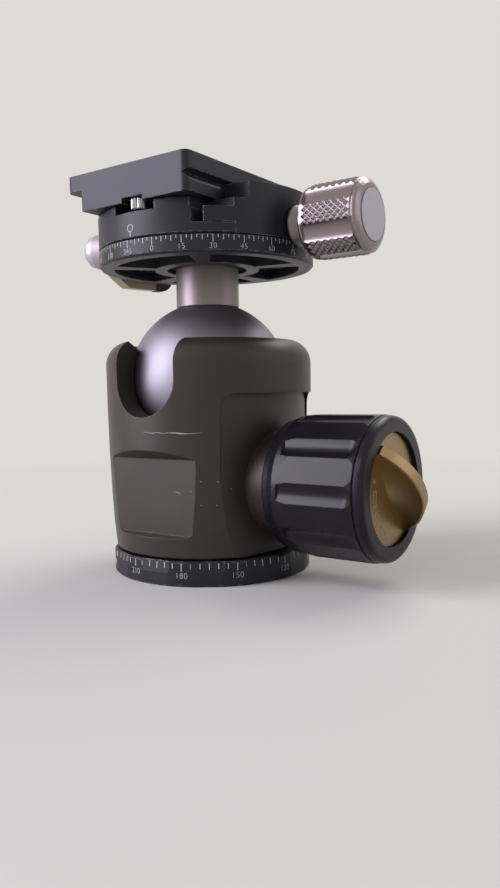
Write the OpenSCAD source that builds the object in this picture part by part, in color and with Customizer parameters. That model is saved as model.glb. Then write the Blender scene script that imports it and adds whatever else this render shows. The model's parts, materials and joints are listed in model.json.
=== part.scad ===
// Tripod ball head: pan base, drop-notch housing, ball and stem, panning screw-knob clamp and plate.
// Millimetres. Origin: centre of the base's bottom face. +Z up, +X along the main lock knob's axis,
// the drop notch faces -Y.

/* [Ball and stem] */
// Ball diameter
ball_d = 48; // [47:0.25:49]
// Height of the ball's centre above the base's bottom face
ball_z = 56; // [55.75:0.25:58]
// Clearance all round between the ball and what holds it
ball_gap = 0.35; // [0.3:0.05:0.45]
// Stem diameter
stem_d = 18.8; // [17:0.2:19]
// Height of the pan disc's underside above the ball's centre
stem_h = 33.4; // [33.2:0.2:36]

/* [Base] */
// Outer diameter of the scale ring at the bottom
base_d = 59.5; // [58:0.25:62]
// Height of the scale ring
base_h = 7; // [6.6:0.1:7.4]
// Gap between the scale ring and the housing
seam = 0.5; // [0.4:0.05:0.6]
// Bore of the tripod thread insert, 3/8 inch 16 UNC before tapping
thread_bore_d = 8; // [7.8:0.05:8.15]
// Number of grip flats round the scale ring
base_flats = 12; // [8:1:16]

/* [Housing] */
// Largest outer diameter of the housing
housing_d = 61.7; // [61:0.1:64]
// Outer diameter of the housing's foot
foot_d = 57.9; // [57:0.1:59]
// Radius of the rounded shoulder at the housing's top
rim_r = 7; // [6.4:0.1:7.4]
// Width of the drop notch
notch_w = 20.8; // [20:0.1:21.6]
// Distance of the milled face beside the main knob from the centre
face_x = 25.8; // [25.6:0.1:26.4]
// Distance of the bare name panel from the centre
panel_y = 26.3; // [26.1:0.1:27.4]

/* [Main lock knob] */
// Height of the knob's axis above the base's bottom face
lock_z = 26.7; // [26.5:0.1:27.2]
// Largest diameter of the knob
knob_d = 40.4; // [38:0.2:40.8]
// Length of the knob
knob_l = 30.6; // [29:0.2:34]
// Number of grip flutes
knob_flutes = 10; // [8:1:11]
// Diameter of the friction dial
dial_d = 29.8; // [28:0.2:30.4]
// Height of the friction dial's thumb fin
fin_h = 9; // [7:0.2:10]

/* [Clamp] */
// Diameter of the pan disc and of the clamp body
clamp_d = 63.8; // [63:0.2:66]
// Height of the scale band on the pan disc
band_h = 4.8; // [4.6:0.1:5.6]
// Diameter of the clamp knob
clamp_knob_d = 19.7; // [18:0.1:20.4]
// Length of the clamp knob without its neck
clamp_knob_l = 17.6; // [15:0.2:20]
// Number of shallow grip flutes on the clamp knob
clamp_flutes = 6; // [5:1:7]

/* [Release plate] */
// Width over the dovetail
dovetail_w = 38; // [37.9:0.05:38.1]
// Length of the plate
plate_l = 64; // [60:1:76]
// Thickness of the plate
plate_t = 10.25; // [9.4:0.05:12]
// How far the plate's top overhangs the dovetail on one side
overhang = 6; // [2:0.5:9]

/* [Hidden] */
$fn = 96;
e = 0.01;
slip = 0.05;      // running fit, on the radius
gap = 0.3;        // between bodies that pass each other
ball_r = ball_d / 2;
stem_r = stem_d / 2;
base_r = base_d / 2;
housing_r = housing_d / 2;
foot_r = foot_d / 2;
knob_r = knob_d / 2;
dial_r = dial_d / 2;
clamp_r = clamp_d / 2;

// base and housing levels
foot_z = base_h + seam;
floor_t = 11.1;
floor_z = foot_z + floor_t;
spindle_r = 14;
spindle_z = floor_z + 0.1;
shoe_end = spindle_r + 4.4;
retainer_t = 2;
retainer_z = spindle_z + retainer_t;
insert_r = 7;
insert_top = 16;
pan_z = foot_z + 5.55;
pan_y = foot_r + 1.3;      // inner face of the pan knob, clear of the housing's foot
bore_r = ball_r + ball_gap;
rim_z = ball_z + 12.2;
mouth_z = ball_z + 9.7;
mouth_r = 22.7;
mouth_slope = 0.635;
lip_z = ball_z + 7;
neck_z = ball_z + 4.2;
shoulder_z = rim_z - rim_r;
shoulder_c = housing_r - rim_r;
notch_r = notch_w / 2;
notch_z = ball_z + 0.7;
face_r = 49.2;
boss_r = 15;
boss_x = housing_r - 1.25;
pocket_z = ball_z - 3.5;
panel_top = 34.7;
panel_bot = 13.2;

// main lock
bush_r = 6.8;
shaft_r = 4;
screw_r = 3;
knob_x = boss_x + 0.8;
knob_end = knob_x + knob_l;
dial_x = knob_end - 2.3;
core_end = knob_end - 15.2;
plate_x = core_end + 5;
hub_r = 5.4;
detent_r = 9.9;
wedge_x0 = 11;
wedge_x1 = 20;
wedge_low = lock_z - 5.7;
wedge_hi = lock_z + 5.6;
wedge_slope = 0.155;
cup_z = ball_z - 22;
cup_top = ball_z - 13;
liner_in = ball_r + gap;
liner_out = liner_in + 0.8;
seat_r = liner_out + gap;

// stem, disc and clamp levels
land_z = ball_z + 21.9;
disc_low = ball_z + stem_h;
disc_top = disc_low + band_h;
stem_top = disc_low + 1.6;
spigot_r = 13;
body_low = disc_top + gap;
axis_z = disc_top + 4.1;
spigot_top = disc_top + 6.8;
ledge_z = spigot_top - gap;
step_z = disc_top + 6.8;
seat_z = disc_top + 9.7;
keep_r = 16.2;

// plate
plate_z = seat_z + 0.15;
plate_top = plate_z + plate_t;
half_dt = dovetail_w / 2;
vee_low = plate_z + 3.05;
vee_in = 1.8;
vee_z = vee_low + vee_in;
vee_top = vee_z + 1;
jaw_top = seat_z + 4.45;
lip_x = half_dt + gap - (jaw_top - vee_low - 0.12);
stop_y = plate_l / 2 - 2.8;
stud_r = 3.17;     // 1/4 inch 20 UNC camera thread

// jaw
part_x = 25;
slot_x = 16.4;
tongue_x = 19;
tongue_y = 18;
mid_y = 20;
jaw_y = 16.4;

// clamp knob
neck_x = clamp_r + 0.35;
ck_x = neck_x + 5.1;
ck_end = ck_x + clamp_knob_l;
ck_r = clamp_knob_d / 2;

// pan lever
lever_a = 197;
lever_z = axis_z - 0.8;
blade_arc = 38;
blade_z = disc_low - 1.8;
blade_h = 7.6;

black = [0.07, 0.07, 0.08];
titanium = [0.62, 0.58, 0.57];
steel = [0.66, 0.67, 0.69];
bronze = [0.55, 0.42, 0.28];
brass = [0.72, 0.58, 0.30];
white = [0.88, 0.88, 0.86];
rubber = [0.06, 0.06, 0.06];

// ---------- helpers ----------
// turns a shape made along +Z so that it lies along +X at height h
module along_x(h) {
    translate([0, 0, h]) rotate([0, 90, 0]) children();
}
// the same along +Y
module along_y(h) {
    translate([0, 0, h]) rotate([-90, 0, 0]) children();
}
module tube(ro, ri, h) {
    difference() {
        cylinder(r = ro, h = h);
        translate([0, 0, -1]) cylinder(r = ri, h = h + 2);
    }
}
// profile in the XZ plane, extruded along Y from y0 to y1
module prism_y(y0, y1) {
    translate([0, y1, 0]) rotate([90, 0, 0]) linear_extrude(height = y1 - y0) children();
}
module ring_of(n, r, a0) {
    for (i = [0 : n - 1]) rotate([0, 0, a0 + 360 * i / n]) translate([r, 0, 0]) children();
}
// machine screw pointing up, flush head at z = 0
module flat_screw(head_r, head_h, r, l) {
    difference() {
        union() {
            cylinder(r = head_r, h = head_h);
            cylinder(r = r, h = l);
        }
        translate([0, 0, -1]) cylinder(r = head_r * 0.45, h = head_h * 0.6 + 1, $fn = 6);
    }
}

// ---------- pan base ----------
module base_plate() color(black) {
    difference() {
        union() {
            cylinder(r = 24.15, h = 3.5);
            cylinder(r = spindle_r, h = spindle_z);
        }
        translate([0, 0, -1]) cylinder(r = insert_r, h = insert_top + 1);
        translate([0, 0, -1]) cylinder(r = 9.1, h = 2.9);
        ring_of(4, 19, 45) translate([0, 0, -1]) cylinder(r = 1.6, h = 6);
        ring_of(4, 19, 45) translate([0, 0, -1]) cylinder(r = 2.9, h = 3.1);
        translate([0, 0, pan_z]) rotate_extrude()
            polygon([[spindle_r - 1.4, -0.5], [spindle_r + 1, -2.9], [spindle_r + 1, 2.9],
                [spindle_r - 1.4, 0.5]]);
        ring_of(3, 10.4, 30) translate([0, 0, insert_top + 0.6]) cylinder(r = 1.25, h = 6);
    }
}
module base_ring() color(black) {
    difference() {
        rotate_extrude() polygon([[14.3, 3.5], [24.25, 3.5], [24.25, 0], [base_r - 0.5, 0],
            [base_r, 0.5], [base_r, base_h - 0.4], [base_r - 0.4, base_h], [14.3, base_h]]);
        for (i = [0 : base_flats - 1]) rotate([0, 0, -85.3 + 360 * i / base_flats])
            union() {
                translate([base_r - 0.3, -4.6, -1]) cube([6, 9.2, base_h + 2]);
                prism_y(-4.6, 4.6) polygon([[base_r - 0.3, 3.7], [base_r - 0.75, base_h + 0.2],
                    [base_r + 6, base_h + 0.2], [base_r + 6, 3.7]]);
            }
        ring_of(4, 19, 45) cylinder(r = 1.25, h = 6.3);
    }
}
module base_screws() color(steel) {
    ring_of(4, 19, 45) translate([0, 0, 0.3]) flat_screw(2.8, 1.7, 1.25, 5.6);
}
module thread_insert() color(steel) {
    difference() {
        union() {
            cylinder(r = insert_r, h = insert_top);
            cylinder(r = 9, h = 1.8);
        }
        translate([0, 0, -1]) cylinder(d = thread_bore_d, h = insert_top - 0.8);
    }
}
module pan_washer() color(white) {
    translate([0, 0, base_h]) tube(23.5, 15, seam - 0.1);
}
module pan_retainer() color(steel) {
    difference() {
        translate([0, 0, spindle_z]) cylinder(r = 17.5, h = retainer_t);
        ring_of(3, 10.4, 30) translate([0, 0, spindle_z - 1]) cylinder(r = 1.3, h = 6);
        ring_of(3, 10.4, 30) translate([0, 0, spindle_z + 0.6]) cylinder(r = 2.6, h = 6);
    }
}
module retainer_screws() color(steel) {
    ring_of(3, 10.4, 30) translate([0, 0, retainer_z - 0.1]) rotate([180, 0, 0])
        flat_screw(2.4, 1.2, 1.25, 3.8);
}

// ---------- housing ----------
module outer_shape() {
    rotate_extrude() union() {
        polygon([[0, foot_z], [foot_r - 0.4, foot_z], [foot_r, foot_z + 0.4],
            [foot_r + 0.65, foot_z + 7], [foot_r + 1.15, foot_z + 16],
            [foot_r + 1.6, foot_z + 28.5], [housing_r - 0.08, foot_z + 42],
            [housing_r, shoulder_z], [shoulder_c, rim_z], [0, rim_z]]);
        intersection() {
            translate([shoulder_c, shoulder_z]) circle(r = rim_r);
            translate([shoulder_c, shoulder_z]) square(rim_r + 1);
        }
    }
}
// the milled face round the main knob's boss, gently curved
module side_pocket() {
    hw = 22.4;
    c = 3.4;
    difference() {
        translate([15, 0, 0]) rotate([90, 0, 90]) linear_extrude(height = 25) {
            translate([-hw, 0]) square([2 * hw, pocket_z - c]);
            translate([-hw + c, 0]) square([2 * (hw - c), pocket_z]);
            for (s = [-1, 1]) translate([s * (hw - c), pocket_z - c]) circle(r = c);
        }
        translate([face_x - face_r, 0, -1]) cylinder(r = face_r, h = 80);
    }
}
module panel_cut() {
    intersection() {
        translate([-17, 0, 0]) rotate([90, 0, 90]) linear_extrude(height = 34)
            polygon([[-panel_y, panel_bot + 0.5], [-panel_y, panel_top],
                [-panel_y - 5, panel_top + 3.1], [-panel_y - 5, panel_bot - 1.4]]);
        rotate([90, 0, 0]) linear_extrude(height = 40) {
            translate([-15.2, panel_bot + 5]) square([30.4, 30]);
            translate([-10.2, panel_bot]) square([20.4, 12]);
            for (s = [-1, 1]) translate([s * 10.2, panel_bot + 5]) circle(r = 5);
        }
    }
}
module notch_cut(r) {
    translate([0, -8, 0]) mirror([0, 1, 0]) {
        along_y(notch_z) cylinder(r = r, h = 30);
        translate([-r, 0, notch_z]) cube([2 * r, 30, 30]);
    }
}
module housing() color(black) {
    difference() {
        union() {
            difference() {
                outer_shape();
                side_pocket();
                panel_cut();
            }
            along_x(lock_z) translate([0, 0, 17]) cylinder(r = boss_r, h = boss_x - 17.8);
            along_x(lock_z) translate([0, 0, 17]) cylinder(r = boss_r - 0.8, h = boss_x - 17);
        }
        translate([0, 0, foot_z - 1]) cylinder(r = bore_r, h = lip_z - foot_z + 1);
        translate([0, 0, ball_z]) sphere(r = ball_r + ball_gap + 0.05);
        rotate_extrude() polygon([[0, mouth_z], [mouth_r, mouth_z],
            [mouth_r + 9, mouth_z + 9 * mouth_slope], [0, mouth_z + 9 * mouth_slope]]);
        notch_cut(notch_r);
        along_x(lock_z) translate([0, 0, 15]) cylinder(r = bush_r, h = 30);
        along_y(pan_z) translate([0, 0, 15]) cylinder(r = 2.5 + slip, h = 30);
    }
}
module housing_floor() color(black) {
    difference() {
        translate([0, 0, foot_z]) cylinder(r = bore_r, h = floor_t);
        translate([0, 0, foot_z - 1]) cylinder(r = spindle_r + slip, h = floor_t + 2);
        along_y(pan_z) translate([0, 0, 10]) cylinder(r = 2.5 + slip, h = 20);
        along_y(pan_z) translate([0, 0, 10]) cylinder(r = 4, h = 8.9);
    }
}
module cup_spacer() color(black) {
    difference() {
        translate([0, 0, floor_z]) tube(bore_r, 21.6, cup_z - 1.7 - floor_z);
        translate([15, -8.2, floor_z - 1]) cube([12, 16.4, 20]);
    }
}
module wave_spring() color(steel) {
    difference() {
        translate([0, 0, cup_z - 1.6]) tube(24.1, 21.8, 1);
        translate([15, -8.2, cup_z - 3]) cube([12, 16.4, 6]);
    }
}
module ball_cup() color(bronze) {
    difference() {
        union() {
            translate([0, 0, cup_z]) cylinder(r = bore_r - 0.1, h = cup_top - cup_z);
            prism_y(-6.5, 6.5) polygon([[wedge_x0, wedge_hi + gap],
                [wedge_x1 + 0.4, wedge_hi + gap - wedge_slope * (wedge_x1 + 0.4 - wedge_x0)],
                [wedge_x1 + 0.4, cup_z + 0.5], [wedge_x0, cup_z + 0.5]]);
        }
        translate([0, 0, ball_z]) sphere(r = seat_r);
        along_x(lock_z) translate([0, 0, wedge_x1 + 0.5]) cylinder(r = bush_r + 0.2, h = 10);
    }
}
module neck_liner() color(black) {
    // the bore of the liner is a cone that touches the ball's clearance sphere between its ends
    difference() {
        rotate_extrude() polygon([[bore_r, neck_z], [bore_r, lip_z],
            [(ball_r + gap - 0.236 * (lip_z - ball_z)) / 0.972, lip_z],
            [(ball_r + gap - 0.236 * (neck_z - ball_z)) / 0.972, neck_z]]);
        notch_cut(notch_r);
    }
}
module lock_bush() color(bronze) {
    along_x(lock_z) difference() {
        union() {
            translate([0, 0, 22.6]) cylinder(r = bush_r, h = boss_x - 22.6);
            translate([0, 0, boss_x]) cylinder(r = 10.5, h = 0.4);
        }
        cylinder(r = shaft_r + slip, h = 60);
    }
}
module ball_liner() color(white) {
    difference() {
        intersection() {
            translate([0, 0, ball_z]) sphere(r = liner_out);
            translate([0, 0, ball_z - 22.2]) cylinder(r = 30, h = 4.1);
        }
        translate([0, 0, ball_z]) sphere(r = liner_in);
    }
}

// ---------- ball and stem ----------
module ball() color(steel) {
    difference() {
        translate([0, 0, ball_z]) sphere(r = ball_r);
        translate([0, 0, land_z]) cylinder(r = 20, h = 10);
        translate([0, 0, ball_z + 4]) cylinder(r = 4, h = 30);
    }
}
module stem() color(titanium) {
    difference() {
        rotate_extrude() polygon([[4.1, land_z], [stem_r - 0.4, land_z],
            [stem_r, land_z + 0.5], [stem_r, stem_top], [4.1, stem_top]]);
        ring_of(2, 6.6, 90) translate([0, 0, stem_top - 4]) cylinder(r = 1.25, h = 6);
    }
}
module stem_bolt() color(steel) {
    difference() {
        union() {
            translate([0, 0, ball_z + 6]) cylinder(r = 4, h = disc_top + 2.4 - ball_z - 6);
            translate([0, 0, disc_top + 2.4]) cylinder(r = 6.5, h = 4);
        }
        translate([0, 0, disc_top + 3.6]) cylinder(r = 3.4, h = 6, $fn = 6);
    }
}
module disc_pins() color(steel) {
    ring_of(2, 6.6, 90) translate([0, 0, stem_top - 3.8]) cylinder(r = 1.25, h = 5.4);
}
// one curved lightening pocket, cut from below
module kidney(a0, a1) {
    ri = 15.6;
    ro = 27.6;
    translate([0, 0, disc_low - 1]) rotate([0, 0, a0]) rotate_extrude(angle = a1 - a0)
        translate([ri, 0]) square([ro - ri, 4]);
}
module pan_disc() color(black) {
    difference() {
        rotate_extrude() polygon([[4.1, disc_low], [clamp_r - 0.7, disc_low],
            [clamp_r, disc_low + 0.7], [clamp_r, disc_top - 0.2], [clamp_r - 0.2, disc_top],
            [spigot_r, disc_top], [spigot_r, spigot_top], [4.1, spigot_top]]);
        translate([0, 0, disc_low - 1]) cylinder(r = 12, h = 2.6);
        for (k = [0 : 4]) kidney(-50 + 72 * k, 10 + 72 * k);
        translate([0, 0, disc_top + 2.4]) cylinder(r = 6.6, h = 10);
        ring_of(2, 6.6, 90) translate([0, 0, stem_top - 1]) cylinder(r = 1.25, h = 2.7);
        ring_of(3, 9.8, 0) translate([0, 0, spigot_top - 5]) cylinder(r = 1.25, h = 8);
    }
}
module clamp_retainer() color(steel) {
    difference() {
        translate([0, 0, spigot_top]) tube(15.8, 6.7, 1.8);
        ring_of(3, 9.8, 0) translate([0, 0, spigot_top - 1]) cylinder(r = 1.3, h = 6);
        ring_of(3, 9.8, 0) translate([0, 0, spigot_top + 0.6]) cylinder(r = 2.5, h = 6);
    }
}
module clamp_screws() color(steel) {
    ring_of(3, 9.8, 0) translate([0, 0, spigot_top + 1.75]) rotate([180, 0, 0])
        flat_screw(2.3, 1.1, 1.25, 5.6);
}

// ---------- main lock ----------
module lock_wedge() color(steel) {
    difference() {
        prism_y(-7, 7) polygon([[wedge_x0, wedge_low], [wedge_x1, wedge_low],
            [wedge_x1, wedge_hi - wedge_slope * (wedge_x1 - wedge_x0)], [wedge_x0, wedge_hi]]);
        along_x(lock_z) cylinder(r = screw_r + slip, h = 40);
    }
}
module lock_shaft() color(steel) {
    along_x(lock_z) difference() {
        union() {
            translate([0, 0, 8]) cylinder(r = screw_r, h = 16);
            translate([0, 0, 20.7]) cylinder(r = shaft_r, h = core_end - 0.2 - 20.7);
        }
        translate([0, 0, core_end - 10]) cylinder(r = 2.5, h = 20);
    }
}
module shaft_clip() color(steel) {
    along_x(lock_z) translate([0, 0, 21.2]) tube(6.2, shaft_r, 1);
}
module knob_core() color(steel) {
    along_x(lock_z) translate([0, 0, knob_x + 1]) tube(8, shaft_r, core_end - 0.1 - knob_x - 1);
}
module knob_screw() color(steel) {
    along_x(lock_z) difference() {
        union() {
            translate([0, 0, core_end - 9.7]) cylinder(r = 2.5, h = 10);
            translate([0, 0, core_end]) cylinder(r = 6.5, h = 3.4);
        }
        translate([0, 0, core_end + 1.2]) cylinder(r = 2.6, h = 6, $fn = 6);
    }
}
module lock_knob() color(black) {
    k = knob_r;
    x0 = knob_x;
    x1 = knob_end;
    along_x(lock_z) difference() {
        rotate_extrude() polygon([[8, x0], [k - 2.7, x0], [k - 2, x0 + 0.7],
            [k - 1.6, x0 + 2.3], [k - 0.9, x0 + 4.2], [k - 0.3, x0 + 9], [k, x0 + 14],
            [k, x0 + 20], [k - 0.1, x0 + 23], [k - 0.3, x1 - 5], [k - 0.5, x1 - 3.3],
            [k - 0.55, x1 - 3.05], [k - 1, x1 - 2.9], [k - 1, x1 - 2.5], [k - 0.65, x1 - 2.35],
            [k - 0.75, x1 - 1.3], [k - 1, x1 - 0.55], [k - 1.4, x1 - 0.15], [k - 2, x1], [dial_r + 0.25, x1],
            [dial_r + 0.25, dial_x - 1.2], [12, dial_x - 1.2], [12, core_end], [8, core_end]]);
        for (i = [0 : knob_flutes - 1]) rotate([0, 0, 18 + 360 * i / knob_flutes]) {
            // a grip flute, square at the collar and rounded at the outer end
            translate([k + 3.7, 0, 0]) {
                translate([0, 0, x0 + 5.7]) cylinder(r = 5, h = x1 - x0 - 11.5);
                translate([0, 0, x1 - 5.8]) sphere(r = 5);
            }
            // and a flat panel beside it
            rotate([0, 0, 180 / knob_flutes]) translate([k - 0.62, -8, x0 + 6.2])
                cube([5, 16, x1 - x0 - 9.4]);
        }
    }
}
module friction_dial() color(bronze) {
    fa = 39.5;
    crest = dial_x + 1.2 + fin_h;
    crest_r = 17.4;
    // half thickness of the fin at depth d below its crest
    side = [for (d = [9.2 : -0.725 : 0.5]) [crest_r - d, 1.45 + 0.034 * pow(d - 3, 2)]];
    along_x(lock_z) difference() {
        union() {
            translate([0, 0, dial_x]) cylinder(r = dial_r, h = 1.2);
            translate([0, 0, plate_x - 1]) cylinder(r = hub_r, h = dial_x - plate_x + 1.2);
            translate([0, 0, dial_x - 0.9]) cylinder(r = 11.6, h = 1);
            intersection() {
                translate([0, 0, dial_x + 1]) cylinder(r = dial_r - 0.5, h = fin_h + 1);
                // the fin is turned about an axis across it, with hollowed sides
                rotate([0, 0, fa]) translate([0, 0, crest - crest_r]) rotate([-90, 0, 0])
                    rotate_extrude() polygon(concat(
                        [[0, side[0][1]]], side, [[crest_r, 1.55], [crest_r, -1.55]],
                        [for (i = [len(side) - 1 : -1 : 0]) [side[i][0], -side[i][1]]],
                        [[0, -side[0][1]]]));
            }
        }
        rotate_extrude() translate([detent_r, dial_x - 1.9]) circle(r = 1.65);
    }
}
module dial_plate() color(steel) {
    along_x(lock_z) difference() {
        translate([0, 0, plate_x]) tube(12, hub_r + slip, dial_x - 1.2 - plate_x);
        translate([detent_r, 0, plate_x + 1]) cylinder(r = 1.5, h = 20);
    }
}
module dial_clip() color(steel) {
    along_x(lock_z) translate([0, 0, plate_x - 0.9]) tube(7.2, hub_r, 0.6);
}
module detent_ball() color(steel) {
    along_x(lock_z) translate([detent_r, 0, dial_x - 1.9]) sphere(r = 1.35);
}
module detent_spring() color(steel) {
    along_x(lock_z) translate([detent_r, 0, plate_x + 1.1]) tube(1.35, 0.9, dial_x - 4.4 - plate_x);
}

// ---------- base pan lock, at the back ----------
module pan_knob() color(titanium) {
    along_y(pan_z) difference() {
        rotate_extrude() polygon([[0, pan_y], [3.6, pan_y], [3.9, pan_y + 1.5],
            [6.4, pan_y + 1.7], [6.9, pan_y + 2.4], [7.1, pan_y + 6.6], [6.8, pan_y + 10],
            [6.1, pan_y + 11], [4.6, pan_y + 11], [4.6, pan_y + 10.5], [0, pan_y + 10.5]]);
        for (i = [0 : 7]) rotate([0, 0, 45 * i]) translate([9.2, 0, pan_y + 3])
            cylinder(r = 2.6, h = 9);
        translate([0, 0, pan_y - 1.4]) cylinder(r = 2.5, h = 8);
    }
}
module pan_screw() color(steel) {
    along_y(pan_z) translate([0, 0, shoe_end + 0.5])
        cylinder(r = 2.5, h = pan_y + 6.4 - shoe_end - 0.5);
}
module pan_knob_cap() color(bronze) {
    along_y(pan_z) translate([0, 0, pan_y + 10.5]) cylinder(r = 4.5, h = 0.7);
}
module pan_shoe() color(brass) {
    along_y(pan_z) rotate_extrude() polygon([[0, spindle_r - 1], [0.6, spindle_r - 1],
        [2.4, spindle_r + 0.85], [3.9, spindle_r + 0.85], [3.9, shoe_end], [0, shoe_end]]);
}

// ---------- panning clamp ----------
module clamp_bearing() color(white) {
    translate([0, 0, disc_top]) tube(clamp_r - 2, spigot_r + 0.5, 0.2);
}
module clamp_body() color(black) {
    difference() {
        union() {
            rotate_extrude() polygon([[spigot_r + slip, body_low], [clamp_r - 0.3, body_low],
                [clamp_r, body_low + 0.3], [clamp_r, seat_z - 0.3], [clamp_r - 0.3, seat_z],
                [spigot_r + slip, seat_z]]);
            intersection() {
                translate([0, 0, seat_z - 1]) cylinder(r = clamp_r, h = 10);
                prism_y(-20.5, 20.5) polygon([[-40, seat_z - 1], [-half_dt - gap, seat_z - 1],
                    [-half_dt - gap, vee_low + 0.12], [-lip_x, jaw_top], [-40, jaw_top]]);
            }
        }
        translate([0, 0, ledge_z]) cylinder(r = keep_r, h = 20);
        // room for the moving jaw
        translate([part_x - 0.1, -50, body_low - 1]) cube([20, 100, 30]);
        translate([16, -50, step_z]) cube([20, 100, 20]);
        for (s = [-1, 1]) translate([slot_x, s > 0 ? tongue_y - 0.3 : -50, disc_top + 3])
            cube([20, 50 - tongue_y + 0.3, 20]);
        // relief for the plate's stop screws
        for (s = [-1, 1]) translate([-7, s > 0 ? stop_y - 7.7 : -50, step_z + 0.3])
            cube([14, 50 - stop_y + 7.7, 20]);
        // clamp screw thread, guide pins, springs
        along_x(axis_z) translate([0, 0, 10]) cylinder(r = 3 + slip, h = 30);
        for (s = [-1, 1]) translate([0, s * 14.5, 0]) along_x(axis_z) {
            translate([0, 0, 12]) cylinder(r = 1.5, h = 20);
            translate([0, 0, 21.8]) cylinder(r = 2.7, h = 20);
        }
        // lock lever's screw and shoe
        rotate([0, 0, lever_a]) along_x(lever_z) {
            translate([0, 0, 10]) cylinder(r = 2 + slip, h = 30);
            translate([0, 0, 10]) cylinder(r = 2.4 + slip, h = 7);
        }
    }
}
module guide_pins() color(steel) {
    for (s = [-1, 1]) translate([0, s * 14.5, 0]) along_x(axis_z)
        translate([0, 0, 12.2]) cylinder(r = 1.5, h = 14.7);
}
module jaw_springs() color(steel) {
    for (s = [-1, 1]) translate([0, s * 14.5, 0]) along_x(axis_z)
        translate([0, 0, 21.9]) tube(2.5, 1.7, 2.7);
}
module lever_shoe() color(brass) {
    rotate([0, 0, lever_a]) along_x(lever_z)
        translate([0, 0, spigot_r + gap]) cylinder(r = 2.4, h = 3.3);
}
module lever_blade() {
    rotate([0, 0, lever_a - blade_arc]) rotate_extrude(angle = blade_arc)
        translate([clamp_r + 1.9, blade_z]) square([3, blade_h]);
}
module pan_lever() color(titanium) {
    difference() {
        lever_blade();
        rotate([0, 0, lever_a - 2]) translate([30, -8, disc_low - 6]) rotate([28, 0, 0])
            translate([0, -5, -15]) cube([20, 30, 20]);
        rotate([0, 0, lever_a]) along_x(lever_z) translate([0, 0, 30]) cylinder(r = 2, h = 6);
    }
}
module lever_tip() color(rubber) {
    tr = blade_h / 2 + 0.2;
    rotate([0, 0, lever_a - blade_arc]) translate([clamp_r + 1.9, 0, blade_z + blade_h / 2])
        rotate([90, 0, 90]) linear_extrude(height = 3.1) {
            translate([-2.2, -tr]) square([2.2, 2 * tr]);
            intersection() {
                translate([-2.2, 0]) circle(r = tr);
                translate([-2.2 - tr, -tr]) square([tr, 2 * tr]);
            }
        }
}
module lever_hub() color(steel) {
    difference() {
        rotate([0, 0, lever_a]) along_x(lever_z) rotate_extrude()
            polygon([[2, clamp_r + 0.45], [4.2, clamp_r + 0.45], [5.2, clamp_r + 1.2],
                [5.3, clamp_r + 4.6], [4.6, clamp_r + 6.6], [3.2, clamp_r + 7.9],
                [1.4, clamp_r + 8.5], [0, clamp_r + 8.6], [0, clamp_r + 4.1],
                [2, clamp_r + 4.1]]);
        lever_blade();
    }
}
module lever_screw() color(steel) {
    rotate([0, 0, lever_a]) along_x(lever_z) translate([0, 0, spigot_r + 3.9])
        cylinder(r = 2, h = clamp_r + 3.9 - spigot_r - 3.9);
}

// ---------- moving jaw ----------
module moving_jaw() color(black) {
    difference() {
        intersection() {
            translate([0, 0, body_low]) cylinder(r = clamp_r, h = 30);
            union() {
                translate([part_x + 0.05, -30, body_low]) cube([20, 60, step_z + 0.35 - body_low]);
                for (s = [-1, 1])
                    translate([tongue_x, s > 0 ? tongue_y : -40, disc_top + 3.2])
                        cube([12, 40 - tongue_y, step_z + 0.35 - disc_top - 3.2]);
                translate([slot_x - 0.1, -mid_y, step_z + 0.35]) cube([20, 2 * mid_y, 2.3]);
                prism_y(-jaw_y, jaw_y) polygon([[half_dt + gap, step_z + 2], [60, step_z + 2],
                    [60, jaw_top], [lip_x, jaw_top], [half_dt + gap, vee_low + 0.12]]);
            }
        }
        along_x(axis_z) cylinder(r = 3.15, h = 60);
        for (s = [-1, 1]) translate([0, s * 14.5, 0]) along_x(axis_z)
            cylinder(r = 1.5 + slip + 0.02, h = 27.2);
    }
}
module jaw_washer() color(bronze) {
    along_x(axis_z) translate([0, 0, clamp_r + 0.05]) tube(3.9, 3.15, 0.2);
}

// ---------- clamp knob ----------
module clamp_knob() color(titanium) {
    along_x(axis_z) difference() {
        rotate_extrude() polygon([[0, ck_x], [ck_r - 1.2, ck_x], [ck_r - 0.6, ck_x + 0.7],
            [ck_r - 0.15, ck_x + 4], [ck_r, ck_x + 8.5], [ck_r - 0.15, ck_x + 12.5],
            [ck_r - 0.8, ck_end - 2], [ck_r - 1.7, ck_end - 0.7], [ck_r - 2.6, ck_end],
            [6.8, ck_end], [6.8, ck_end - 0.6], [0, ck_end - 0.6]]);
        for (i = [0 : clamp_flutes - 1]) rotate([0, 0, 360 * i / clamp_flutes - 4])
            translate([ck_r + 5.75, 0, ck_x - 1]) cylinder(r = 6.5, h = clamp_knob_l + 2);
        translate([0, 0, ck_x - 1]) cylinder(r = 3, h = 12);
    }
}
module knob_neck() color(titanium) {
    along_x(axis_z) rotate_extrude() polygon([[3, neck_x], [5.7, neck_x], [5.7, neck_x + 0.6],
        [4.7, neck_x + 2.6], [4.4, neck_x + 4.6], [4.9, ck_x], [3, ck_x]]);
}
module clamp_knob_cap() color(titanium) {
    along_x(axis_z) translate([0, 0, ck_end - 0.6]) cylinder(r = 6.7, h = 0.8);
}
module clamp_screw() color(steel) {
    along_x(axis_z) translate([0, 0, 17]) cylinder(r = 3, h = ck_x + 11 - 17);
}

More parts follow.
